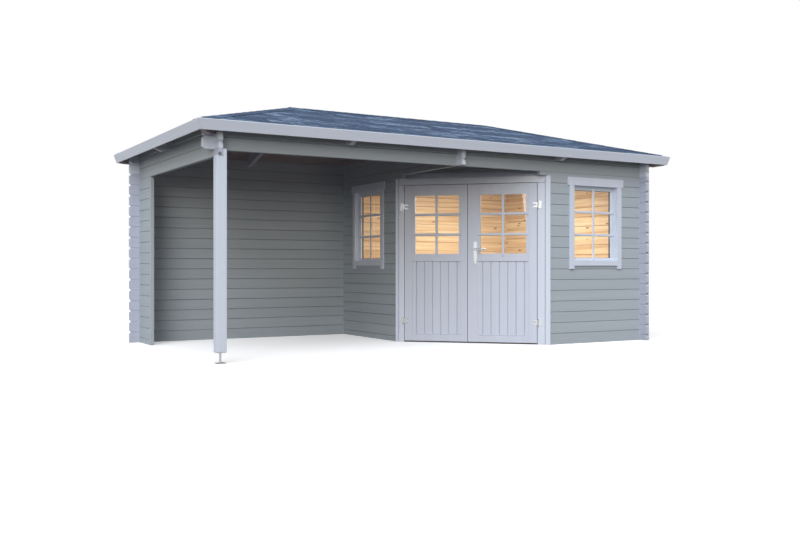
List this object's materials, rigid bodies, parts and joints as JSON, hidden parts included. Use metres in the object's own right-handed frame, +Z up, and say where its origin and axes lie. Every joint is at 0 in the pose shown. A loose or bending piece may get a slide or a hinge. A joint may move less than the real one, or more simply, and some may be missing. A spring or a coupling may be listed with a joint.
{
  "type": "wooden garden shed",
  "caption": "Hip-roofed garden cabin of interlocking logs, with a glazed double door across one cut-off corner and an open terrace beside it under the same roof.",
  "frame": {"origin": "middle of the roof's plan, at ground level", "axes": "+X along the front towards the cabin's end, +Y from the front to the back, +Z up"},
  "size_m": [5.426, 2.956, 2.4844],
  "materials": {
    "logs": "painted grey-green, satin",
    "trim": "painted pale blue-grey, satin",
    "pine": "planed, unpainted",
    "shingles": "mineral-faced bitumen shingles, matt",
    "steel": "satin",
    "glass": "clear"
  },
  "bodies": {
    "root": {"back_wall": "logs", "right_wall": "logs", "front_wall": "logs", "front_beam": "logs", "left_wall": "logs", "left_wall_end_board": "trim", "left_beam": "logs", "cabin_left_wall": "logs", "cabin_left_beam": "logs", "door_header": "logs", "door_trim_board": "trim", "door_jamb_left": "trim", "door_jamb_right": "trim", "door_head": "trim", "door_threshold": "pine", "corner_boards": "trim", "frame_hinges": "steel", "front_window_casing": "trim", "front_window_frame": "trim", "front_window_sash": "trim", "front_window_glass": "glass", "side_window_casing": "trim", "side_window_frame": "trim", "side_window_sash": "trim", "side_window_glass": "glass", "post": "trim", "post_foot": "steel", "ridge_beam": "pine", "common_rafters": "pine", "side_rafters": "pine", "hip_rafters": "pine", "roof_boards_front": "pine", "roof_boards_back": "pine", "roof_boards_ends": "pine", "roof_covering": "shingles", "roof_caps": "shingles", "fascia_long": "trim", "fascia_ends": "trim", "floor_bearers": "pine", "floor_boards": "pine"},
    "door_left": {"door_left_leaf": "trim", "door_left_panel": "trim", "door_left_glass": "glass", "door_left_hinges": "steel"},
    "door_right": {"door_right_leaf": "trim", "door_right_panel": "trim", "door_right_glass": "glass", "door_right_hinges": "steel", "door_lock_plates": "steel"},
    "handle": {"door_handle": "steel"}
  },
  "joints": [
    {"name": "door_left_hinge", "type": "hinge", "parent": "root", "child": "door_left", "pos_m": [0.02846, -0.14724, 0.85], "axis": [0, 0, -1], "range_deg": [0, 165]},
    {"name": "door_right_hinge", "type": "hinge", "parent": "root", "child": "door_right", "pos_m": [1.06719, -1.18597, 0.85], "axis": [0, 0, 1], "range_deg": [0, 165]},
    {"name": "handle_turn", "type": "hinge", "parent": "door_right", "child": "handle", "pos_m": [0.59788, -0.70634, 1.01], "axis": [0.7071, 0.7071, 0], "range_deg": [0, 40], "stiffness_Nm_per_rad": 1.5, "springref_deg": -22.92}
  ]
}
